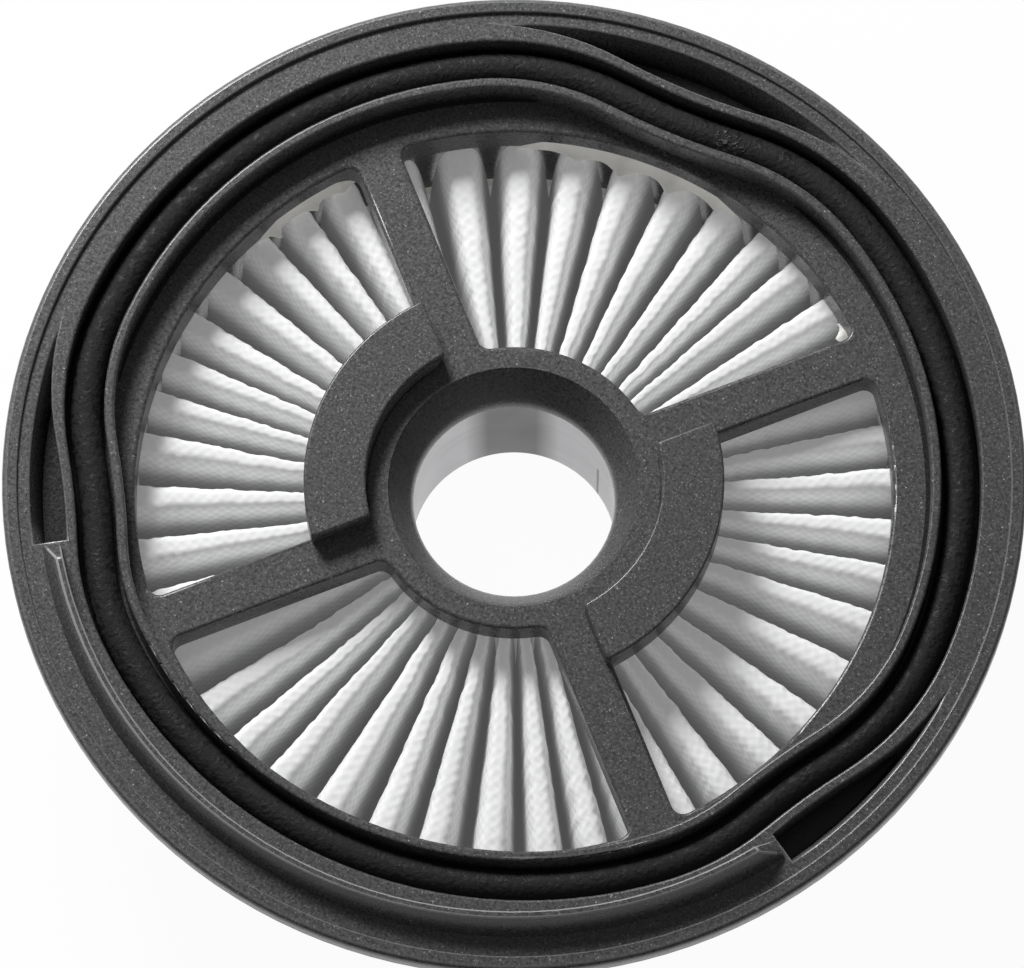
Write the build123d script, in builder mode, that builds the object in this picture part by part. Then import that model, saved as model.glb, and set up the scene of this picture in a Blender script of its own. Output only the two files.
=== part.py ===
# Pleated filter cartridge for a vacuum cleaner: flanged frame, seal cord, radial pleats and core tube.
# Frame of reference: Z is the filter axis, Z = 0 the lower rim that it stands on, +Y the middle of the
# back hollow in the flange, -Y the middle of the raised rib. Lengths are in millimetres.
import os
from math import cos, radians, sin, tan

from build123d import *

# Heights above the lower rim
band_top = 32.0
ledge_depth = 4.6
lip_rise = 0.6
rib_rise = 3.6
arc_rise = 3.4
spoke_height = 4.5
inner_lip_drop = 0.8
hub_funnel_depth = 5.4

# Flange
flange_radius = 67.5
flange_width = 2.9
flange_thickness = 2.0
lip_width = 2.0
lip_skirt = 2.4
lip_chamfer = 0.5

# Seal groove: a circle with dips at the back and both sides, and a front run that is moved to the back
seal_inset = 8.5
back_dip = 3.65
side_dip = 3.7
side_dip_angle = 118.5
front_shift = 4.1
dip_radius = 100.0
bend_radius = 34.0
groove_width = 5.2
groove_depth = 5.6
groove_wall = 1.35
groove_floor = 1.4
wall_round = 0.4
plain_ledge = 4.85

# Hollows between the groove wall and the flange
hollow_margin = 3.6
hollow_slope = 1.5
hollow_depth = 5.0
hollow_widening = 1.5
hollow_end_land = 0.5

# Raised rib outside the front run of the groove
rib_half_angle = 57.5
rib_margin = 4.7
rib_width = 0.95
rib_slope = 1.55
rib_end_bevel = 3.0

# Can, spokes and windows
can_wall = 1.8
inner_lip_width = 1.4
spoke_count = 4
spoke_width = 6.2
spoke_first_angle = 45.0
window_corner = 1.6
window_round = 0.5

# Core tube, and the hub that holds it
tube_inner_radius = 13.9
tube_wall = 1.2
socket_clearance = 0.1
socket_depth = 2.6
socket_wall = 1.3
throat_step = 0.5
throat_length = 1.4
hub_overhang = 3.2
hub_rim_width = 3.0
funnel_round = 4.0
funnel_edge_round = 0.6

# Arcs beside the hub
arc_width = 8.1
arc_root = 1.5
arc_inner_cover = 0.1
arc_end_cover = 0.9
arc_corner = 0.6
arc_edge_round = 0.35

# Seal cord
cord_diameter = 4.2

# Pleats and adhesive
pleat_count = 44
pleat_bottom = 1.0
pleat_gap = 0.1
socket_gap = 0.2
fold_half_width_outer = 1.45
fold_half_width_inner = 0.4
sheet_outer = 0.55
sheet_inner = 0.28
fold_round_share = 0.75
outer_glue_thickness = 0.8

# Heights that follow from the driving sizes
ledge_top = band_top - ledge_depth
spoke_bottom = ledge_top - spoke_height
inner_lip_bottom = spoke_bottom - inner_lip_drop
groove_bottom = band_top - groove_depth
bed_bottom = groove_bottom - groove_floor
throat_top = ledge_top - hub_funnel_depth
tube_top = throat_top - throat_length
socket_bottom = tube_top - socket_depth
pleat_top = inner_lip_bottom - pleat_gap

# Radii of the flange, groove and can, from the outside in
bed_radius = flange_radius - flange_width
hollow_radius = flange_radius - hollow_margin
rib_foot_radius = flange_radius - rib_margin
rib_radius = rib_foot_radius - rib_slope
rib_inner_radius = rib_radius - rib_width
seal_plain_radius = flange_radius - seal_inset
groove_half = groove_width / 2
wall_outside = groove_half + groove_wall
opening_radius = seal_plain_radius - wall_outside - plain_ledge
can_inner_radius = opening_radius + inner_lip_width
can_outer_radius = can_inner_radius + can_wall

# Radii of the hub, from the bore out
throat_radius = tube_inner_radius - throat_step
tube_outer_radius = tube_inner_radius + tube_wall
socket_radius = tube_outer_radius + socket_clearance
socket_outer_radius = socket_radius + socket_wall
hub_radius = socket_outer_radius + hub_overhang
funnel_radius = hub_radius - hub_rim_width
hub_core_radius = hub_radius - hub_rim_width / 2
arc_outer_radius = hub_radius + arc_width
pleat_inner_radius = socket_outer_radius + socket_gap
pleat_outer_radius = can_inner_radius - outer_glue_thickness

# A length that reaches past the whole outline
reach = 2 * flange_radius

os.makedirs("parts", exist_ok=True)


def front_sector(half_angle):
    """Sector about -Y that reaches past the flange."""
    half_width = reach * tan(radians(half_angle))
    with BuildSketch() as sector:
        with BuildLine():
            Polyline((0, 0), (half_width, -reach), (-half_width, -reach), close=True)
        make_face()
    return sector.sketch


def ring(outer_radius, inner_radius):
    """Flat ring about the axis."""
    with BuildSketch() as flat_ring:
        Circle(outer_radius)
        Circle(inner_radius, mode=Mode.SUBTRACT)
    return flat_ring.sketch


def seal_outline(distance, widening=0.0):
    """Face inside the groove's centre line, moved out by distance, and by widening beside the dips."""
    dips = ((0, back_dip), (side_dip_angle, side_dip), (-side_dip_angle, side_dip))
    with BuildSketch() as front_run:
        with Locations((0, front_shift)):
            Circle(seal_plain_radius + distance)
        add(front_sector(180 - side_dip_angle), mode=Mode.INTERSECT)
    with BuildSketch() as outline:
        Circle(seal_plain_radius + distance + widening)
        add(front_sector(180 - side_dip_angle), mode=Mode.SUBTRACT)
        add(front_run.sketch)
        for turn, dip in dips:
            with Locations(Location((0, 0), turn)):
                with Locations((0, seal_plain_radius - dip + dip_radius)):
                    Circle(dip_radius - distance, mode=Mode.SUBTRACT)
        fillet(outline.vertices(), radius=bend_radius + distance)
    return outline.sketch


def edges_between(part, height, inner_radius, outer_radius):
    """Edges of part at a height, whose middles lie between two radii."""
    centre = Vector(0, 0, height)
    level_edges = part.edges().filter_by_position(Axis.Z, height, height)
    return [edge for edge in level_edges if inner_radius < (edge @ 0.5 - centre).length < outer_radius]


# Hollows outside the dips of the groove, sloped at the outside and ending short of the rib
hollow_end_angle = rib_half_angle + hollow_end_land / radians(hollow_radius)
hollow_bottom = band_top - hollow_depth
with BuildPart() as hollows:
    with BuildSketch(Plane.XZ):
        with BuildLine():
            Polyline(
                (0, hollow_bottom),
                (hollow_radius - hollow_slope, hollow_bottom),
                (hollow_radius, band_top),
                (0, band_top),
                close=True,
            )
        make_face()
    revolve(axis=Axis.Z)
    with BuildSketch(Plane.XY.offset(hollow_bottom)):
        add(seal_outline(wall_outside, hollow_widening))
        add(front_sector(hollow_end_angle))
    extrude(amount=hollow_depth, mode=Mode.SUBTRACT)

# Windows between the spokes
with BuildSketch() as windows:
    add(ring(opening_radius, hub_radius))
    with PolarLocations(opening_radius, spoke_count, start_angle=spoke_first_angle):
        Rectangle(2 * opening_radius, spoke_width, mode=Mode.SUBTRACT)
    fillet(windows.vertices(), radius=window_corner)

# Arcs that stand on the hub's edge and on the sides of the spokes
with BuildSketch() as arc_quarters:
    add(ring(arc_outer_radius, hub_radius - arc_inner_cover))
    with PolarLocations(arc_outer_radius, spoke_count, start_angle=spoke_first_angle):
        Rectangle(2 * arc_outer_radius, spoke_width - 2 * arc_end_cover, mode=Mode.SUBTRACT)

with BuildPart() as arcs:
    with BuildSketch(Plane.XY.offset(ledge_top - arc_root)) as arc_outline:
        quarters = arc_quarters.faces().sort_by(Axis.X)
        add(quarters[0])
        add(quarters[-1])
        fillet(arc_outline.vertices(), radius=arc_corner)
    extrude(amount=arc_root + arc_rise)
    fillet(arcs.faces().sort_by(Axis.Z)[-2:].edges(), radius=arc_edge_round)

# Rib along the front of the flange, with bevelled ends
rib_start = radians(270 - rib_half_angle)
rib_plane = Plane(
    origin=(0, 0, 0),
    x_dir=(cos(rib_start), sin(rib_start), 0),
    z_dir=(sin(rib_start), -cos(rib_start), 0),
)
with BuildPart() as rib:
    with BuildSketch(rib_plane):
        with BuildLine():
            Polyline(
                (rib_inner_radius, band_top - flange_thickness),
                (rib_inner_radius, band_top + rib_rise),
                (rib_radius, band_top + rib_rise),
                (rib_foot_radius, band_top),
                (rib_foot_radius, band_top - flange_thickness),
                close=True,
            )
        make_face()
    revolve(axis=Axis.Z, revolution_arc=2 * rib_half_angle)
    chamfer(rib.edges().filter_by(GeomType.LINE).group_by(Axis.Z)[-1], length=rib_end_bevel)

# Frame: one moulding
with BuildPart() as frame:
    # Can wall and the lip over the pleat ends
    with BuildSketch():
        add(ring(can_outer_radius, can_inner_radius))
    extrude(amount=ledge_top)
    with BuildSketch(Plane.XY.offset(inner_lip_bottom)):
        add(ring(can_outer_radius, opening_radius))
    extrude(amount=ledge_top - inner_lip_bottom)
    # Seal bed and its walls
    with BuildSketch(Plane.XY.offset(bed_bottom)):
        add(ring(bed_radius, opening_radius))
    extrude(amount=ledge_top - bed_bottom)
    with BuildSketch(Plane.XY.offset(ledge_top)):
        Circle(bed_radius)
        add(seal_outline(-wall_outside), mode=Mode.SUBTRACT)
    extrude(amount=ledge_depth)
    # Flange plate and its raised lip
    with BuildSketch(Plane.XY.offset(band_top - flange_thickness)):
        add(ring(flange_radius, bed_radius))
    extrude(amount=flange_thickness)
    with BuildSketch(Plane.XZ):
        with BuildLine():
            Polyline(
                (flange_radius - lip_width, band_top - lip_skirt),
                (flange_radius, band_top - lip_skirt),
                (flange_radius, band_top + lip_rise - lip_chamfer),
                (flange_radius - lip_chamfer, band_top + lip_rise),
                (flange_radius - lip_width, band_top + lip_rise),
                close=True,
            )
        make_face()
    revolve(axis=Axis.Z)
    # Groove with rounded walls, and hollows
    with BuildSketch(Plane.XY.offset(groove_bottom)):
        add(seal_outline(groove_half))
        add(seal_outline(-groove_half), mode=Mode.SUBTRACT)
    extrude(amount=groove_depth, mode=Mode.SUBTRACT)
    fillet(edges_between(frame, band_top, opening_radius, hollow_radius), radius=wall_round)
    add(hollows.part, mode=Mode.SUBTRACT)
    # Spokes, left between the windows
    with BuildSketch(Plane.XY.offset(spoke_bottom)):
        add(ring(can_inner_radius, funnel_radius))
        add(windows.sketch, mode=Mode.SUBTRACT)
    extrude(amount=spoke_height)
    window_edges = edges_between(frame, ledge_top, funnel_radius, opening_radius + window_round)
    fillet(window_edges, radius=window_round)
    # Hub with its funnel, and the socket for the core tube below it
    with BuildSketch(Plane.XZ) as hub_section:
        with BuildLine():
            Polyline(
                (socket_radius, socket_bottom),
                (socket_radius, tube_top),
                (throat_radius, tube_top),
                (throat_radius, throat_top),
                (funnel_radius, ledge_top),
                (hub_core_radius, ledge_top),
                (hub_core_radius, spoke_bottom),
                (socket_outer_radius, spoke_bottom),
                (socket_outer_radius, socket_bottom),
                close=True,
            )
        make_face()
        funnel_foot = hub_section.vertices().sort_by_distance((throat_radius, throat_top))[0]
        fillet(funnel_foot, radius=funnel_round)
        funnel_edge = hub_section.vertices().sort_by_distance((funnel_radius, ledge_top))[0]
        fillet(funnel_edge, radius=funnel_edge_round)
    revolve(axis=Axis.Z)
    add(arcs.part)
    add(rib.part)
frame.part.label = "frame"

# Seal cord along the groove's floor
with BuildPart() as seal_cord:
    cord_height = Location((0, 0, groove_bottom + cord_diameter / 2))
    cord_path = seal_outline(0).face().outer_wire().moved(cord_height)
    with BuildSketch(Plane(cord_path @ 0, z_dir=cord_path % 0)):
        Circle(cord_diameter / 2)
    sweep(path=cord_path)
seal_cord.part.label = "seal_cord"

# Core tube, butted against the hub's throat
with BuildPart() as core_tube:
    with BuildSketch():
        add(ring(tube_outer_radius, tube_inner_radius))
    extrude(amount=tube_top)
core_tube.part.label = "core_tube"


def pleat_section(radius, fold_half_width, sheet):
    """Section of one ridge and one valley of the folded sheet, on a plane at radius from the axis."""
    half = radius * tan(radians(180 / pleat_count))
    quarter = radius * tan(radians(90 / pleat_count))
    inside = fold_half_width - sheet
    wall_run = 2 * (half - quarter) - fold_half_width - inside
    wall_slope = (pleat_top - pleat_bottom - sheet) / wall_run
    middle = (pleat_top + pleat_bottom) / 2
    cut_half = sheet / 2 * (1 + wall_slope)
    with BuildSketch(Plane((radius, 0, 0), x_dir=(0, 1, 0), z_dir=(1, 0, 0))) as section:
        with BuildLine():
            Polyline(
                (-half, middle - cut_half),
                (-half, middle + cut_half),
                (-quarter - fold_half_width, pleat_top),
                (-quarter + fold_half_width, pleat_top),
                (quarter - inside, pleat_bottom + sheet),
                (quarter + inside, pleat_bottom + sheet),
                (half, middle + cut_half),
                (half, middle - cut_half),
                (quarter + fold_half_width, pleat_bottom),
                (quarter - fold_half_width, pleat_bottom),
                (-quarter + inside, pleat_top - sheet),
                (-quarter - inside, pleat_top - sheet),
                close=True,
            )
        make_face()
        crests = section.vertices().group_by(Axis.Y)
        fillet(crests[0] + crests[-1], radius=fold_half_width * fold_round_share)
    return section.sketch


# Pleat pack: one fold, repeated round the axis
pleat_end_plane = pleat_outer_radius * cos(radians(180 / pleat_count))
with BuildPart() as pleat:
    add(pleat_section(pleat_inner_radius, fold_half_width_inner, sheet_inner))
    add(pleat_section(pleat_end_plane, fold_half_width_outer, sheet_outer))
    loft(ruled=True)

with BuildPart() as pleat_pack:
    with PolarLocations(0, pleat_count):
        add(pleat.part)
pleat_pack.part.label = "pleat_pack"

# Adhesive at both ends of the pleats
with BuildPart() as outer_glue:
    with BuildSketch(Plane.XY.offset(pleat_bottom)):
        add(ring(can_inner_radius, pleat_outer_radius))
    extrude(amount=pleat_top - pleat_bottom)
outer_glue.part.label = "outer_glue"

with BuildPart() as inner_glue:
    with BuildSketch(Plane.XY.offset(pleat_bottom)):
        add(ring(pleat_inner_radius, tube_outer_radius))
    extrude(amount=socket_bottom - pleat_bottom)
inner_glue.part.label = "inner_glue"

export_step(frame.part, "parts/frame.step")
export_step(seal_cord.part, "parts/seal_cord.step")
export_step(pleat_pack.part, "parts/pleat_pack.step")
export_step(core_tube.part, "parts/core_tube.step")
export_step(outer_glue.part, "parts/outer_glue.step")
export_step(inner_glue.part, "parts/inner_glue.step")
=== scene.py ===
from math import copysign, cos, hypot, pi, radians, sin

import bmesh
import bpy
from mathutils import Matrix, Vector, noise


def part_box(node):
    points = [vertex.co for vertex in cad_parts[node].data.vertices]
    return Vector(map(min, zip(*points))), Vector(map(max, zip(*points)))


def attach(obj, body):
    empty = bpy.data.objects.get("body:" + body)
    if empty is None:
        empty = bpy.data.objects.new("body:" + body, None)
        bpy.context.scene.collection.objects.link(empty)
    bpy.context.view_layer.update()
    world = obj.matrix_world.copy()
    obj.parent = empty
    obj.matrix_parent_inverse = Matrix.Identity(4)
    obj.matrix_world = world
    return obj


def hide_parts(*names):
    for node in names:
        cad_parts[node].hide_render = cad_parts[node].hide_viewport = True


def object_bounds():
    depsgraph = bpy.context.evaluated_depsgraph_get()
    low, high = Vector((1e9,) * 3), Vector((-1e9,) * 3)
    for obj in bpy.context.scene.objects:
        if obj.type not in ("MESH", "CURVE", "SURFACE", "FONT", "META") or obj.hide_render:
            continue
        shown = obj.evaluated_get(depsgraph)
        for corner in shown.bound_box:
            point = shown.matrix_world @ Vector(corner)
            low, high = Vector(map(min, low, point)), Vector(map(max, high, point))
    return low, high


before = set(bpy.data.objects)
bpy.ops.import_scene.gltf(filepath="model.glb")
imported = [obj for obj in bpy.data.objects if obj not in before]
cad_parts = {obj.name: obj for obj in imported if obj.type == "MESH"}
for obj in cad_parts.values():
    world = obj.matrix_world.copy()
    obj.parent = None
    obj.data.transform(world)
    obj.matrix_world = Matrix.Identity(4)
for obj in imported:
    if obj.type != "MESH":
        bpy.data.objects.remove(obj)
cad_low, cad_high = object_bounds()

# Lengths in this script are in millimetres, and meshes are brought to metres when they are finished
MM = 0.001

# Rounding of the frame's upper edges
EDGE_ROUND = 0.22
EDGE_SEGMENTS = 2
EDGE_LOWEST = 29.6
SHARP_ANGLE = 35.0
FLAT_ANGLE = 0.1
SMOOTH_ANGLE = 50.0
LEVEL_NORMAL = 0.9999
MERGE_REACH = 0.001

# Share of painted highlight and light wear on those edges, more on the rib
EDGE_HIGHLIGHT_AND_WEAR = 0.2
RIB_HIGHLIGHT_AND_WEAR = 0.8
RIB_LEVEL = 33.5

# Pleated sheet: where each ridge stands, as an angle from +X, uneven as on the real one
RIDGE_ANGLES = (
    3.9, 11.7, 18.9, 27.2, 34.3, 41.6, 48.9, 56.2, 64.3, 70.9, 78.5,
    86.5, 95.0, 103.7, 112.4, 122.0, 131.8, 141.7, 149.1, 156.9, 165.2, 173.4,
    180.5, 186.9, 194.0, 203.0, 211.4, 219.9, 229.3, 238.8, 246.6, 254.2, 263.7,
    272.9, 281.0, 290.2, 298.5, 306.0, 313.4, 320.9, 328.3, 337.1, 345.3, 354.8,
)
PLEAT_COUNT = len(RIDGE_ANGLES)
PLEAT_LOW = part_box("pleat_pack")[0].z / MM
PLEAT_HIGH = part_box("pleat_pack")[1].z / MM
PLEAT_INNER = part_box("inner_glue")[1].x / MM
PLEAT_OUTER = 50.6
FOLD_PLACES = (0.0, 0.14, 0.28, 0.4, 0.51, 0.61, 0.7, 0.78, 0.86, 0.93, 1.0)
FOLD_POWER = 4.0
FOLD_ROWS = 84
UNDER_ROWS = 8
LENGTH_STEPS = 12
SHEET_THICKNESS = 0.4
SHEET_DEPTH = PLEAT_HIGH - PLEAT_LOW - SHEET_THICKNESS
CREST_DROP = 0.5
CREST_END = 46.5
CREST_END_DROP = 0.1
CREST_BEND = 0.4
CREST_BEND_LENGTH = 16.0
DENT_LENGTH = 1.5
DENT_DEPTH = 0.025
DENT_SIDE = 0.04
WAVE_SIDE = 0.24
WAVE_LENGTH = 1.4
CREST_LEAST = 0.001
BEAT_STEP = 2.4
BEAT_SLANT = 2.0
BEAT_SWAY = 2.0
BEAT_SWAY_LENGTH = 5.0

# Where each kind of unevenness reads the noise, as rows set apart from one another
NOISE_ROW = 7.31
BEAT_ROWS = 30
WAVE_ROWS = 60
DROP_ROWS = 90

# Adhesive: a ring low at the pleat ends, and webs whose edges are given by angle and radius
GLUE_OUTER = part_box("outer_glue")[1].x / MM
GLUE_INNER = 50.6
GLUE_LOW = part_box("outer_glue")[0].z / MM
GLUE_STEPS = 176
RING_TOP = 6.0
WEBS = (
    ((113.0, 50.1), (108.6, 50.0), (103.6, 48.8), (100.2, 49.6), (96.4, 47.9), (91.8, 49.6),
     (88.2, 47.9), (84.4, 49.9), (80.4, 49.2), (76.5, 50.1)),
    ((157.0, 50.1), (155.2, 49.9), (153.6, 48.3), (151.8, 49.9), (149.0, 49.8), (146.2, 48.8),
     (144.5, 49.9), (141.2, 49.2), (138.0, 50.1)),
    ((53.2, 50.1), (51.2, 48.6), (49.0, 49.9)),
)
WEB_OUTER = 50.18
WEB_STEP = 0.4
WEB_LOW = 21.85
WEB_RISE = 2.2
WEB_CURVE = 1.5
WEB_TAPER = 4.0
WEB_ROWS = (0.0, 0.3, 0.65, 1.0)
WEB_THICKNESS = 0.5

# Finish of the frame, with linear colours, pattern scales in cells per metre, and where painted shade makes
# it go dark
PLASTIC_DARK = (0.012, 0.012, 0.0125, 1)
PLASTIC_LIGHT = (0.15, 0.15, 0.153, 1)
PLASTIC_GRAIN = 2600.0
PLASTIC_MOTTLE = 2400.0
FLAKE_GREY = (0.3, 0.3, 0.31, 1)
FLAKE_SCALE = 4200.0
FLAKE_SHARE = 0.35
SPARK_GREY = (0.55, 0.55, 0.56, 1)
SPARK_SCALE = 3400.0
SPARK_SHARE = 0.015
HIGHLIGHT_AND_WEAR_GREY = (0.4, 0.4, 0.405, 1)
HOLLOW_SHADE_BLACK = (0.004, 0.004, 0.004, 1)
HOLLOW_SHADE_SHARE = 0.9
HOLLOW_SHADE_INNER = 54.5
HOLLOW_SHADE_OUTER = 65.8
HOLLOW_SHADE_LOW = 27.3
HOLLOW_SHADE_HIGH = 30.5

# Finish of the seal, with chips at the splice of its ends
RUBBER_DARK = (0.0, 0.0, 0.0, 1)
RUBBER_LIGHT = (0.034, 0.034, 0.036, 1)
RUBBER_GRAIN = 1700.0
RUBBER_MOTTLE = 1100.0
SPLICE = (7.8 * MM, 55.4 * MM, 30.0 * MM)
SPLICE_REACH = 2.6
CHIP_GREY = (0.1, 0.1, 0.1, 1)
CHIP_SCALE = 1500.0
CHIP_RELIEF = 3.0

# Finish of the sheet, whose painted light, a glow, goes by the length from the ridge as a share of the
# radius, with painted shade in its dents and towards its valleys
SHEET_GREY = (0.75, 0.755, 0.76, 1)
SHEET_WHITE = (0.81, 0.81, 0.81, 1)
SHEET_GRAIN = 3200.0
SHEET_MOTTLE = 240.0
FELT_RELIEF = 0.4
BAND_SCALE = 0.28
DENT_SHADE_GREY = (0.3, 0.305, 0.31, 1)
DENT_SHADE_SHARE = 0.24
SHADE_GREY = (0.12, 0.12, 0.12, 1)
SHADE_LOW = 11.0
SHADE_HIGH = 20.0
SHADE_SHARE = 0.6
RIDGE_PAINTED_LIGHT = 0.18
FLANK_PAINTED_LIGHT = 0.045
PAINTED_LIGHT_FULL_REACH = 0.03
PAINTED_LIGHT_END_REACH = 0.15

# Finish of the tube, with turning lines, a seam and a painted shade down its far wall
TUBE_DARK = (0.5, 0.5, 0.51, 1)
TUBE_LIGHT = (0.66, 0.66, 0.68, 1)
TUBE_GRAIN = 900.0
TUBE_MOTTLE = 120.0
TUBE_LINES = (20.0, 20.0, 900.0)
SEAM_GREY = (0.12, 0.12, 0.12, 1)
SEAM = (7.2 * MM, 11.9 * MM, 0)
SEAM_WIDTH = 0.3
SEAM_TOP = 10.5
SEAM_FADE = 0.21
FAR_WALL_SHADE_GREY = (0.06, 0.06, 0.062, 1)
FAR_WALL_SHADE_CENTRE = (-5.8 * MM, 12.6 * MM, 0)
FAR_WALL_SHADE_REACH = 6.5
FAR_WALL_SHADE_SHARE = 0.9

# Finish of the adhesive
GLUE_BEIGE = (0.78, 0.765, 0.72, 1)
GLUE_WHITE = (0.88, 0.87, 0.84, 1)
GLUE_GRAIN = 600.0
GLUE_MOTTLE = 300.0
GLUE_PAINTED_LIGHT = 0.12

# Camera, fitted to the photograph's frame
AIM = Vector((0, 0, 32.0)) * MM
CAMERA_AZIMUTH = 23.5
CAMERA_ELEVATION = 71.7
CAMERA_DISTANCE = 1.0
CAMERA_LENS = 266.7
CAMERA_SHIFT = (-0.0019, -0.0083)

# Studio
KEY_ANGLE = 142.0
KEY_ELEVATION = 40.0
KEY_DISTANCE = 0.6
KEY_SIZE = 0.2
KEY_POWER = 4.2
FILL_ANGLE = -60.0
FILL_ELEVATION = 60.0
FILL_DISTANCE = 0.8
FILL_SIZE = 0.6
FILL_POWER = 0.15
DOME_LIGHT = 0.11
FLOOR_SIZE = 4.0
FLOOR_WHITE_SHARE = 0.96
PAPER_GREY = (0.88, 0.88, 0.88, 1)


def direction(angle, elevation):
    """Unit vector at an angle from +X about the axis, and an elevation, in degrees."""
    a, e = radians(angle), radians(elevation)
    return Vector((cos(a) * cos(e), sin(a) * cos(e), sin(e)))


# Node helpers
def feed(tree, socket, value):
    """Links an input to another node's output, or sets its value."""
    if isinstance(value, bpy.types.NodeSocket):
        tree.links.new(value, socket)
    else:
        socket.default_value = value


def put(tree, kind, values=None, **settings):
    """Adds a node with its settings, and its inputs' values as numbers or links."""
    made = tree.nodes.new(kind)
    for name, value in settings.items():
        setattr(made, name, value)
    for name, value in (values or {}).items():
        feed(tree, made.inputs[name], value)
    return made


def blend_colours(tree, share, first, second):
    """Mix of two colours by a share."""
    made = put(tree, "ShaderNodeMix", data_type="RGBA")
    share_input, first_input, second_input = made.inputs[0], made.inputs[6], made.inputs[7]
    feed(tree, share_input, share)
    feed(tree, first_input, first)
    feed(tree, second_input, second)
    return made.outputs[2]


def scaled(tree, value, low, high, new_low, new_high):
    """Value brought from one range to another."""
    sockets = {"Value": value, "From Min": low, "From Max": high, "To Min": new_low, "To Max": new_high}
    return put(tree, "ShaderNodeMapRange", sockets).outputs[0]


def math_node(tree, operation, first, second=0.0):
    """Result of a sum, product or like of two values."""
    return put(tree, "ShaderNodeMath", {0: first, 1: second}, operation=operation).outputs[0]


def vector_node(tree, operation, first, second=(0, 0, 0)):
    """Node that works on two vectors."""
    return put(tree, "ShaderNodeVectorMath", {0: first, 1: second}, operation=operation)


def distance_between(tree, first, second):
    """Distance between two places."""
    return vector_node(tree, "DISTANCE", first, second).outputs["Value"]


def height_of(tree, place):
    """Height of a place along the axis."""
    return put(tree, "ShaderNodeSeparateXYZ", {0: place}).outputs[2]


def flattened(tree, place):
    """Place brought down to the axis's foot plane."""
    return vector_node(tree, "MULTIPLY", place, (1, 1, 0)).outputs[0]


def new_group(name, inputs, outputs):
    """Empty node group with named sockets."""
    group = bpy.data.node_groups.new(name, "ShaderNodeTree")
    for label, kind in inputs:
        group.interface.new_socket(label, in_out="INPUT", socket_type=kind)
    for label, kind in outputs:
        group.interface.new_socket(label, in_out="OUTPUT", socket_type=kind)
    return group, group.nodes.new("NodeGroupInput"), group.nodes.new("NodeGroupOutput")


def moulded_grain_group():
    """Fine grain height and slow mottling of a moulded surface."""
    group, entry, leave = new_group(
        "moulded_grain",
        [
            ("Vector", "NodeSocketVector"),
            ("Grain Scale", "NodeSocketFloat"),
            ("Mottle Scale", "NodeSocketFloat"),
        ],
        [("Height", "NodeSocketFloat"), ("Mottle", "NodeSocketFloat")],
    )
    place, fine, slow = entry.outputs[:3]
    grain = put(group, "ShaderNodeTexNoise", {"Vector": place, "Scale": fine, "Detail": 3.0})
    mottle = put(group, "ShaderNodeTexNoise", {"Vector": place, "Scale": slow, "Detail": 2.0})
    group.links.new(grain.outputs[0], leave.inputs[0])
    group.links.new(mottle.outputs[0], leave.inputs[1])
    return group


def speckle_group():
    """Small bright flakes scattered through a surface, as a mask."""
    group, entry, leave = new_group(
        "flake_speckle",
        [("Vector", "NodeSocketVector"), ("Scale", "NodeSocketFloat"), ("Share", "NodeSocketFloat")],
        [("Mask", "NodeSocketFloat")],
    )
    cells = put(group, "ShaderNodeTexVoronoi", {"Vector": entry.outputs[0], "Scale": entry.outputs[1]})
    pick = put(group, "ShaderNodeSeparateColor", {"Color": cells.outputs["Color"]})
    chosen = math_node(group, "LESS_THAN", pick.outputs[0], entry.outputs[2])
    near = scaled(group, cells.outputs["Distance"], 0.18, 0.5, 1.0, 0.0)
    bright = math_node(group, "MULTIPLY", chosen, pick.outputs[1])
    group.links.new(math_node(group, "MULTIPLY", bright, near), leave.inputs[0])
    return group


GRAIN = moulded_grain_group()
SPECKLE = speckle_group()


def grained(tree, vector, grain_scale, mottle_scale):
    """Height and mottle sockets of the grain group."""
    made = put(tree, "ShaderNodeGroup", node_tree=GRAIN)
    for socket, value in zip(made.inputs, (vector, grain_scale, mottle_scale)):
        feed(tree, socket, value)
    return made.outputs[0], made.outputs[1]


def speckled(tree, vector, scale, share):
    """Mask socket of the speckle group."""
    made = put(tree, "ShaderNodeGroup", node_tree=SPECKLE)
    for socket, value in zip(made.inputs, (vector, scale, share)):
        feed(tree, socket, value)
    return made.outputs[0]


def new_material(name):
    """Material with an empty tree, its Principled shader and Object coordinates."""
    material = bpy.data.materials.new(name)
    material.use_nodes = True
    tree = material.node_tree
    tree.nodes.clear()
    # A faint glow is met by chance, which is quicker than taking each face for a lamp
    material.cycles.emission_sampling = "NONE"
    shader = put(tree, "ShaderNodeBsdfPrincipled")
    output = put(tree, "ShaderNodeOutputMaterial")
    tree.links.new(shader.outputs[0], output.inputs[0])
    place = put(tree, "ShaderNodeTexCoord").outputs["Object"]
    return material, tree, shader, place


def bumped(tree, shader, height, strength, distance):
    """Bump from a height pattern on the shader's normal, with its full rise in millimetres."""
    bump = put(tree, "ShaderNodeBump", {"Height": height, "Strength": strength, "Distance": distance * MM})
    tree.links.new(bump.outputs[0], shader.inputs["Normal"])


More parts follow.
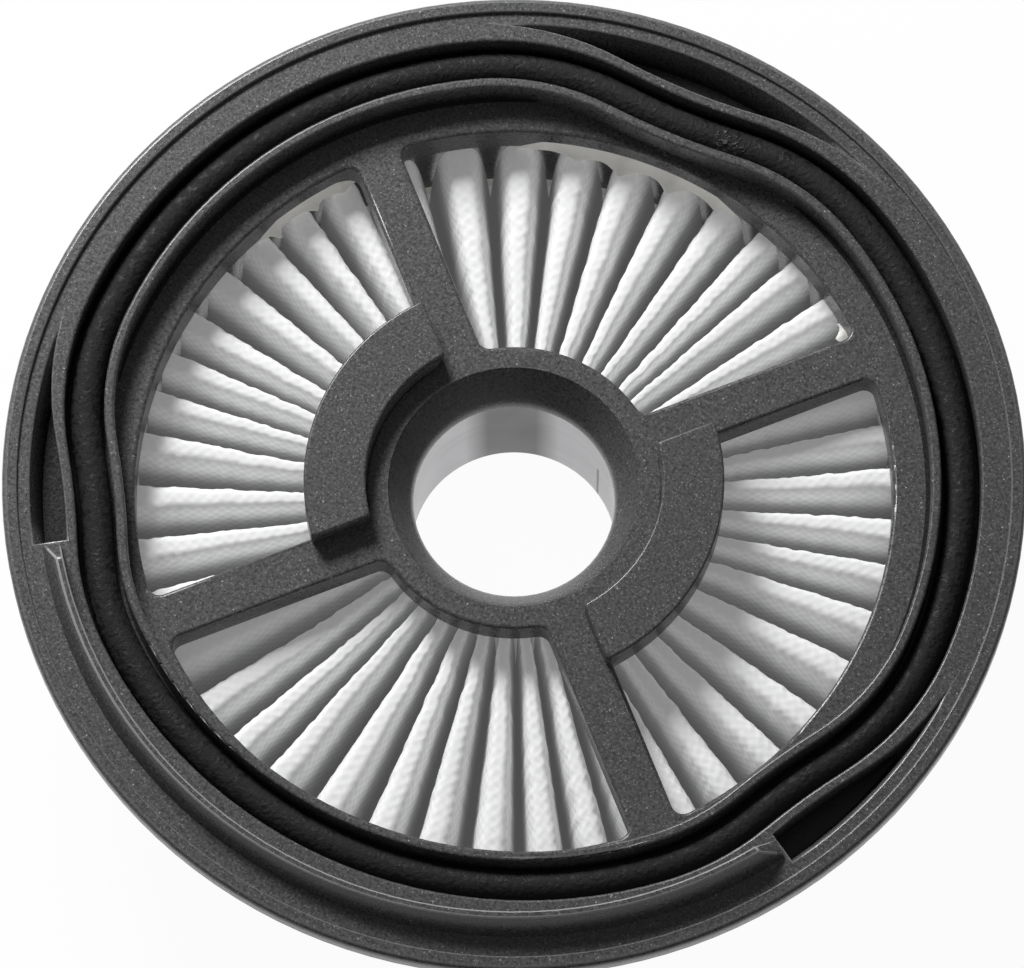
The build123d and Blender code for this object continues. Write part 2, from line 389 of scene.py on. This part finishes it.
def frame_plastic():
    """Dark grey moulded plastic with fine bright flakes, a painted highlight with light wear on its edges,
    and painted shade in the hollows.
    """
    material, tree, shader, place = new_material("frame_plastic")
    height, mottle = grained(tree, place, PLASTIC_GRAIN, PLASTIC_MOTTLE)
    base = blend_colours(tree, mottle, PLASTIC_DARK, PLASTIC_LIGHT)
    base = blend_colours(tree, speckled(tree, place, FLAKE_SCALE, FLAKE_SHARE), base, FLAKE_GREY)
    base = blend_colours(tree, speckled(tree, place, SPARK_SCALE, SPARK_SHARE), base, SPARK_GREY)
    # Painted highlight with some light wear: the rounded upper edges are lightened, more on the rib
    highlight_and_wear = put(tree, "ShaderNodeAttribute", attribute_name="edge").outputs["Fac"]
    base = blend_colours(tree, highlight_and_wear, base, HIGHLIGHT_AND_WEAR_GREY)
    # Painted shade: the groove and the hollows in the rim go nearly black low down
    radius = vector_node(tree, "LENGTH", flattened(tree, place)).outputs["Value"]
    past_inner = math_node(tree, "GREATER_THAN", radius, HOLLOW_SHADE_INNER * MM)
    within_outer = math_node(tree, "LESS_THAN", radius, HOLLOW_SHADE_OUTER * MM)
    hollow_shade = scaled(tree, height_of(tree, place), HOLLOW_SHADE_LOW * MM, HOLLOW_SHADE_HIGH * MM, HOLLOW_SHADE_SHARE, 0.0)
    hollow_shade = math_node(tree, "MULTIPLY", math_node(tree, "MULTIPLY", past_inner, within_outer), hollow_shade)
    base = blend_colours(tree, hollow_shade, base, HOLLOW_SHADE_BLACK)
    tree.links.new(base, shader.inputs["Base Color"])
    tree.links.new(scaled(tree, mottle, 0.3, 0.7, 0.24, 0.36), shader.inputs["Roughness"])
    bumped(tree, shader, height, 0.4, 0.06)
    return material


def seal_rubber():
    """Matte black rubber cord, rough where its ends are joined."""
    material, tree, shader, place = new_material("seal_rubber")
    height, mottle = grained(tree, place, RUBBER_GRAIN, RUBBER_MOTTLE)
    gap = distance_between(tree, place, SPLICE)
    splice = scaled(tree, gap, SPLICE_REACH / 2 * MM, SPLICE_REACH * MM, 1.0, 0.0)
    chips = put(tree, "ShaderNodeTexNoise", {"Vector": place, "Scale": CHIP_SCALE, "Detail": 2.0})
    rough = math_node(tree, "MULTIPLY", splice, scaled(tree, chips.outputs[0], 0.5, 0.65, 0.0, 1.0))
    base = blend_colours(tree, mottle, RUBBER_DARK, RUBBER_LIGHT)
    base = blend_colours(tree, rough, base, CHIP_GREY)
    tree.links.new(base, shader.inputs["Base Color"])
    tree.links.new(scaled(tree, mottle, 0.35, 0.65, 0.5, 0.95), shader.inputs["Roughness"])
    shader.inputs["Specular IOR Level"].default_value = 0.25
    height = math_node(tree, "ADD", height, math_node(tree, "MULTIPLY", rough, CHIP_RELIEF))
    bumped(tree, shader, height, 0.8, 0.25)
    return material


def emboss_relief(tree, along):
    """Diamond lattice of two crossing bands, on the sheet's own UV map in millimetres."""
    bands = []
    for turn in (45, -45):
        turned = put(tree, "ShaderNodeMapping", {"Vector": along, "Rotation": (0, 0, radians(turn))})
        wave = {"Vector": turned.outputs[0], "Scale": BAND_SCALE, "Distortion": 1.4, "Detail Scale": 1.5}
        bands.append(put(tree, "ShaderNodeTexWave", wave).outputs[1])
    return math_node(tree, "ADD", bands[0], bands[1])


def filter_sheet():
    """White felted sheet with an embossed diamond pattern, painted shade in its dents and towards its
    valleys, and painted light glowing near its ridges.
    """
    material, tree, shader, place = new_material("filter_sheet")
    height, mottle = grained(tree, place, SHEET_GRAIN, SHEET_MOTTLE)
    base = blend_colours(tree, mottle, SHEET_GREY, SHEET_WHITE)
    shader.inputs["Roughness"].default_value = 0.9
    along = put(tree, "ShaderNodeUVMap", uv_map="sheet").outputs[0]
    relief = emboss_relief(tree, along)
    sheet = put(tree, "ShaderNodeSeparateXYZ", {0: along})
    from_ridge = math_node(tree, "ABSOLUTE", sheet.outputs[1])
    from_ridge = math_node(tree, "DIVIDE", from_ridge, sheet.outputs[0])
    # Painted shade in the emboss pattern's dents, less on the crest
    flank = scaled(tree, from_ridge, 0.01, 0.05, 0.3, 1.0)
    dent_shade = math_node(tree, "MULTIPLY", scaled(tree, relief, 0.3, 1.6, DENT_SHADE_SHARE, 0.0), flank)
    base = blend_colours(tree, dent_shade, base, DENT_SHADE_GREY)
    shade = scaled(tree, height_of(tree, place), SHADE_LOW * MM, SHADE_HIGH * MM, SHADE_SHARE, 0.0)
    base = blend_colours(tree, shade, base, SHADE_GREY)
    tree.links.new(base, shader.inputs["Base Color"])
    relief = math_node(tree, "ADD", relief, math_node(tree, "MULTIPLY", height, FELT_RELIEF))
    bumped(tree, shader, relief, 0.25, 0.1)
    # Painted light: the sheet glows most on its ridges and faintly down its flanks
    glow = scaled(tree, from_ridge, PAINTED_LIGHT_FULL_REACH, PAINTED_LIGHT_END_REACH, RIDGE_PAINTED_LIGHT, FLANK_PAINTED_LIGHT)
    tree.links.new(glow, shader.inputs["Emission Color"])
    shader.inputs["Emission Strength"].default_value = 1.0
    return material


def tube_plastic():
    """Satin light grey tube with faint turning lines, one seam and a painted shade down its far wall."""
    material, tree, shader, place = new_material("tube_plastic")
    mottle = grained(tree, place, TUBE_GRAIN, TUBE_MOTTLE)[1]
    stretched = put(tree, "ShaderNodeMapping", {"Vector": place, "Scale": TUBE_LINES})
    lines = put(tree, "ShaderNodeTexNoise", {"Vector": stretched.outputs[0], "Scale": 1.0, "Detail": 2.0})
    base = blend_colours(tree, lines.outputs[0], TUBE_DARK, TUBE_LIGHT)
    flat = flattened(tree, place)
    seam = scaled(tree, distance_between(tree, flat, SEAM), SEAM_WIDTH / 2 * MM, SEAM_WIDTH * MM, 1.0, 0.0)
    below = scaled(tree, height_of(tree, place), SEAM_TOP * MM, (SEAM_TOP - SEAM_FADE) * MM, 0.0, 1.0)
    base = blend_colours(tree, math_node(tree, "MULTIPLY", seam, below), base, SEAM_GREY)
    # Painted shade: a dark band down the far side of the bore's wall
    far_wall_shade = scaled(tree, distance_between(tree, flat, FAR_WALL_SHADE_CENTRE), FAR_WALL_SHADE_REACH / 2 * MM, FAR_WALL_SHADE_REACH * MM, FAR_WALL_SHADE_SHARE, 0.0)
    base = blend_colours(tree, far_wall_shade, base, FAR_WALL_SHADE_GREY)
    tree.links.new(base, shader.inputs["Base Color"])
    shader.inputs["Metallic"].default_value = 0.5
    tree.links.new(scaled(tree, mottle, 0.3, 0.7, 0.28, 0.38), shader.inputs["Roughness"])
    bumped(tree, shader, lines.outputs[0], 0.15, 0.05)
    return material


def adhesive():
    """Beige-white set adhesive, a little glossy, with a faint painted light glowing from it."""
    material, tree, shader, place = new_material("adhesive")
    height, mottle = grained(tree, place, GLUE_GRAIN, GLUE_MOTTLE)
    base = blend_colours(tree, mottle, GLUE_BEIGE, GLUE_WHITE)
    tree.links.new(base, shader.inputs["Base Color"])
    tree.links.new(scaled(tree, mottle, 0.3, 0.7, 0.4, 0.6), shader.inputs["Roughness"])
    bumped(tree, shader, height, 0.3, 0.2)
    # Painted light: the adhesive glows faintly in its own colour
    tree.links.new(base, shader.inputs["Emission Color"])
    shader.inputs["Emission Strength"].default_value = GLUE_PAINTED_LIGHT
    return material


# Pieces
def finish_piece(name, bm, material, slot, *nodes):
    """Turns a bmesh in millimetres into a piece on the body, standing for the CAD nodes."""
    bmesh.ops.scale(bm, vec=(MM, MM, MM), verts=bm.verts)
    mesh = bpy.data.meshes.new(name)
    bm.to_mesh(mesh)
    bm.free()
    for polygon in mesh.polygons:
        polygon.use_smooth = True
    mesh.set_sharp_from_angle(angle=radians(SMOOTH_ANGLE))
    mesh.materials.append(material)
    piece = bpy.data.objects.new(name, mesh)
    bpy.context.scene.collection.objects.link(piece)
    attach(piece, "root")
    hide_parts(*nodes)
    return piece


def dress_node(node, material):
    """Gives a CAD node that stays its finish."""
    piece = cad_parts[node]
    piece.data.materials.clear()
    piece.data.materials.append(material)


def rounded_frame(material):
    """Frame with its sharp upper edges rounded."""
    bm = bmesh.new()
    bm.from_mesh(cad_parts["frame"].data)
    bmesh.ops.scale(bm, vec=(1 / MM, 1 / MM, 1 / MM), verts=bm.verts)
    bmesh.ops.remove_doubles(bm, verts=bm.verts, dist=MERGE_REACH)
    upper = [e for e in bm.edges if min(v.co.z for v in e.verts) > EDGE_LOWEST]
    bmesh.ops.dissolve_limit(bm, angle_limit=radians(FLAT_ANGLE), verts=[], edges=upper)
    upper = [e for e in bm.edges if min(v.co.z for v in e.verts) > EDGE_LOWEST]
    sharp = [e for e in upper if e.calc_face_angle_signed() > radians(SHARP_ANGLE)]
    edge = bm.faces.layers.float.new("edge")
    rounded = bmesh.ops.bevel(
        bm, geom=sharp, offset=EDGE_ROUND, offset_type="OFFSET", segments=EDGE_SEGMENTS,
        profile=0.5, affect="EDGES", clamp_overlap=False, material=-1,
    )
    # Each rounded face keeps its share of painted highlight and wear
    for face in rounded["faces"]:
        face[edge] = RIB_HIGHLIGHT_AND_WEAR if face.calc_center_median().z > RIB_LEVEL else EDGE_HIGHLIGHT_AND_WEAR
    piece = finish_piece("rounded_frame", bm, material, "frame_plastic", "frame")
    for polygon in piece.data.polygons:
        polygon.use_smooth = abs(polygon.normal.z) < LEVEL_NORMAL
    return piece


def fold_noise(fold, place, length):
    """Smooth noise along one fold, from -1 to 1."""
    return noise.noise(Vector((place / length, fold * NOISE_ROW, 0.5)))


def fold_length(half_pitch, place):
    """Length along the sheet from a ridge to a place on its flank."""
    stops = [place * i / LENGTH_STEPS for i in range(LENGTH_STEPS + 1)]
    falls = [SHEET_DEPTH * stop ** FOLD_POWER for stop in stops]
    runs = [half_pitch * stop for stop in stops]
    return sum(hypot(runs[i + 1] - runs[i], falls[i + 1] - falls[i]) for i in range(LENGTH_STEPS))


def fold_strip():
    """Flat double strip for one fold: radius along X, place across it along Y, and layer along Z."""
    bm = bmesh.new()
    places = [-place for place in reversed(FOLD_PLACES[1:])] + list(FOLD_PLACES)
    row = [bm.verts.new((PLEAT_INNER, place, 1)) for place in places]
    first = [bm.edges.new(pair) for pair in zip(row, row[1:])]
    reach = PLEAT_OUTER - PLEAT_INNER
    moves = [(reach / FOLD_ROWS, 0, 0)] * FOLD_ROWS + [(0, 0, -1)]
    moves += [(-reach / UNDER_ROWS, 0, 0)] * UNDER_ROWS
    edges = first
    for move in moves:
        grown = bmesh.ops.extrude_edge_only(bm, edges=edges)["geom"]
        edges = [e for e in grown if isinstance(e, bmesh.types.BMEdge)]
        verts = [v for v in grown if isinstance(v, bmesh.types.BMVert)]
        bmesh.ops.translate(bm, vec=move, verts=verts)
    bmesh.ops.bridge_loops(bm, edges=first + edges)
    return bm


def fold_point(fold, radius, place, layer):
    """Where a point of a fold's flat strip lies on the folded sheet."""
    before = radians((RIDGE_ANGLES[fold] - RIDGE_ANGLES[fold - 1]) % 360 / 2)
    after = radians((RIDGE_ANGLES[(fold + 1) % PLEAT_COUNT] - RIDGE_ANGLES[fold]) % 360 / 2)
    half_pitch = radius * (after if place > 0 else before)
    crest = 1 - abs(place)
    soft = crest * (2 - crest)
    beat = 2 * pi * radius / DENT_LENGTH + BEAT_STEP * fold
    beat += BEAT_SWAY * fold_noise(fold + BEAT_ROWS, radius, BEAT_SWAY_LENGTH)
    side = half_pitch * place + CREST_BEND * fold_noise(fold, radius, CREST_BEND_LENGTH) * crest
    side += DENT_SIDE * sin(beat + BEAT_SLANT * place) * soft
    side += WAVE_SIDE * fold_noise(fold + WAVE_ROWS, radius, WAVE_LENGTH) * soft
    drop = CREST_DROP * (0.5 + 0.5 * fold_noise(fold + DROP_ROWS, radius, CREST_BEND_LENGTH))
    drop += DENT_DEPTH * (1 + cos(beat)) * soft
    drop += CREST_END_DROP * max(0.0, radius - CREST_END)
    height = PLEAT_HIGH - drop * crest - SHEET_DEPTH * abs(place) ** FOLD_POWER
    if layer < 0.5:
        slope = SHEET_DEPTH * FOLD_POWER * abs(place) ** (FOLD_POWER - 1) / half_pitch
        length = hypot(1, slope)
        height = max(PLEAT_LOW, height - SHEET_THICKNESS / length)
        side -= copysign(SHEET_THICKNESS * slope / length, place)
    if crest < CREST_LEAST:
        side = half_pitch * place
        height = PLEAT_LOW + layer * SHEET_THICKNESS
    angle = radians(RIDGE_ANGLES[fold]) + side / radius
    return radius * cos(angle), radius * sin(angle), height


def pleat_sheet(material):
    """Sheet folded into radial pleats with fat, uneven, dented ridges."""
    bm = fold_strip()
    uv = bm.loops.layers.uv.new("sheet")
    number = bm.verts.layers.int.new("fold")
    for face in bm.faces:
        for loop in face.loops:
            radius, place, layer = loop.vert.co
            length = fold_length(radius * pi / PLEAT_COUNT, abs(place))
            loop[uv].uv = (radius, copysign(length, place))
    strip = bm.faces[:]
    for fold in range(1, PLEAT_COUNT):
        copied = bmesh.ops.duplicate(bm, geom=strip)["geom"]
        for vert in (g for g in copied if isinstance(g, bmesh.types.BMVert)):
            vert[number] = fold
    for vert in bm.verts:
        vert.co = fold_point(vert[number], *vert.co)
    bmesh.ops.remove_doubles(bm, verts=bm.verts, dist=MERGE_REACH)
    bmesh.ops.recalc_face_normals(bm, faces=bm.faces)
    return finish_piece("pleat_sheet", bm, material, "filter_sheet", "pleat_pack")


def web_edge(web, angle):
    """Radius of a web's scalloped edge at an angle."""
    for (first, first_radius), (last, last_radius) in zip(web, web[1:]):
        if first >= angle >= last:
            share = (first - angle) / (first - last)
            if first_radius > last_radius:
                return first_radius + (last_radius - first_radius) * share ** 2
            return last_radius + (first_radius - last_radius) * (1 - share) ** 2
    return web[-1][1]


def add_web(bm, web):
    """Adds a web: a strip swept along the opening's edge, that climbs the frame's wall."""
    start, end = web[0][0], web[-1][0]
    row = [bm.verts.new((start, share, 0)) for share in WEB_ROWS]
    edges = [bm.edges.new(pair) for pair in zip(row, row[1:])]
    flat = row[:]
    faces = []
    steps = round((start - end) / WEB_STEP)
    for _ in range(steps):
        grown = bmesh.ops.extrude_edge_only(bm, edges=edges)["geom"]
        edges = [e for e in grown if isinstance(e, bmesh.types.BMEdge)]
        verts = [v for v in grown if isinstance(v, bmesh.types.BMVert)]
        faces += [f for f in grown if isinstance(f, bmesh.types.BMFace)]
        bmesh.ops.translate(bm, vec=((end - start) / steps, 0, 0), verts=verts)
        flat += verts
    for vert in flat:
        angle, share, _ = vert.co
        inner = web_edge(web, angle)
        ends = min(1.0, (start - angle) / WEB_TAPER, (angle - end) / WEB_TAPER)
        radius = inner + (WEB_OUTER - inner) * share
        height = WEB_LOW + WEB_RISE * share ** WEB_CURVE * max(0.0, ends)
        vert.co = (radius * cos(radians(angle)), radius * sin(radians(angle)), height)
    lower = bmesh.ops.extrude_face_region(bm, geom=faces)["geom"]
    verts = [v for v in lower if isinstance(v, bmesh.types.BMVert)]
    bmesh.ops.translate(bm, vec=(0, 0, -WEB_THICKNESS), verts=verts)


def glue_ring(material):
    """Adhesive ring at the outer pleat ends, with its webs."""
    bm = bmesh.new()
    lower = [bm.verts.new((radius, 0, GLUE_LOW)) for radius in (GLUE_INNER, GLUE_OUTER)]
    upper = [bm.verts.new((radius, 0, RING_TOP)) for radius in (GLUE_OUTER, GLUE_INNER)]
    section = lower + upper
    edges = [bm.edges.new((section[i - 1], section[i])) for i in range(len(section))]
    bmesh.ops.spin(
        bm, geom=section + edges, cent=(0, 0, 0), axis=(0, 0, 1), angle=2 * pi,
        steps=GLUE_STEPS, use_merge=True,
    )
    for web in WEBS:
        add_web(bm, web)
    bmesh.ops.recalc_face_normals(bm, faces=bm.faces)
    return finish_piece("glue_ring", bm, material, "adhesive", "outer_glue")


ADHESIVE = adhesive()
rounded_frame(frame_plastic())
dress_node("seal_cord", seal_rubber())
dress_node("core_tube", tube_plastic())
glue_ring(ADHESIVE)
dress_node("inner_glue", ADHESIVE)
pleat_sheet(filter_sheet())


# Floor, light and camera
def studio_floor():
    """Pale floor that the camera sees as nearly white, with a faint shadow."""
    bm = bmesh.new()
    bmesh.ops.create_grid(bm, x_segments=1, y_segments=1, size=FLOOR_SIZE / 2)
    mesh = bpy.data.meshes.new("floor")
    bm.to_mesh(mesh)
    bm.free()
    floor = bpy.data.objects.new("floor", mesh)
    floor.location.z = cad_low.z
    bpy.context.scene.collection.objects.link(floor)
    material = bpy.data.materials.new("floor_paper")
    material.use_nodes = True
    tree = material.node_tree
    tree.nodes.clear()
    paper = put(tree, "ShaderNodeBsdfDiffuse", {"Color": PAPER_GREY})
    glow = put(tree, "ShaderNodeEmission", {"Color": (1, 1, 1, 1), "Strength": 1.0})
    light_path = put(tree, "ShaderNodeLightPath")
    seen = light_path.outputs["Is Camera Ray"]
    for kind in ("Is Glossy Ray", "Is Transmission Ray"):
        seen = math_node(tree, "MAXIMUM", seen, light_path.outputs[kind])
    share = math_node(tree, "MULTIPLY", seen, FLOOR_WHITE_SHARE)
    mixed = put(tree, "ShaderNodeMixShader", {0: share})
    tree.links.new(paper.outputs[0], mixed.inputs[1])
    tree.links.new(glow.outputs[0], mixed.inputs[2])
    output = put(tree, "ShaderNodeOutputMaterial")
    tree.links.new(mixed.outputs[0], output.inputs[0])
    mesh.materials.append(material)


def soft_lamp(name, angle, elevation, distance, size, power):
    """Square lamp that faces the filter."""
    lamp = bpy.data.lights.new(name, "AREA")
    lamp.size = size
    lamp.energy = power
    holder = bpy.data.objects.new(name, lamp)
    away = direction(angle, elevation)
    holder.location = AIM + away * distance
    holder.rotation_euler = away.to_track_quat("Z", "Y").to_euler()
    bpy.context.scene.collection.objects.link(holder)


def dome():
    """Even soft light from all round, white where the camera sees it."""
    world = bpy.data.worlds.new("studio")
    bpy.context.scene.world = world
    world.use_nodes = True
    tree = world.node_tree
    tree.nodes.clear()
    light_path = put(tree, "ShaderNodeLightPath")
    seen = light_path.outputs["Is Camera Ray"]
    seen = math_node(tree, "MAXIMUM", seen, light_path.outputs["Is Transmission Ray"])
    strength = scaled(tree, seen, 0.0, 1.0, DOME_LIGHT, 1.0)
    background = put(tree, "ShaderNodeBackground", {"Color": (1, 1, 1, 1), "Strength": strength})
    output = put(tree, "ShaderNodeOutputWorld")
    tree.links.new(background.outputs[0], output.inputs[0])


def photo_camera():
    """Camera at the photograph's angle."""
    camera = bpy.data.cameras.new("camera")
    camera.lens = CAMERA_LENS
    camera.shift_x, camera.shift_y = CAMERA_SHIFT
    holder = bpy.data.objects.new("camera", camera)
    away = direction(CAMERA_AZIMUTH - 90, CAMERA_ELEVATION)
    holder.location = AIM + away * CAMERA_DISTANCE
    holder.rotation_euler = away.to_track_quat("Z", "Y").to_euler()
    bpy.context.scene.collection.objects.link(holder)
    bpy.context.scene.camera = holder


studio_floor()
soft_lamp("key", KEY_ANGLE, KEY_ELEVATION, KEY_DISTANCE, KEY_SIZE, KEY_POWER)
soft_lamp("fill", FILL_ANGLE, FILL_ELEVATION, FILL_DISTANCE, FILL_SIZE, FILL_POWER)
dome()
photo_camera()
bpy.context.scene.view_settings.view_transform = "Standard"
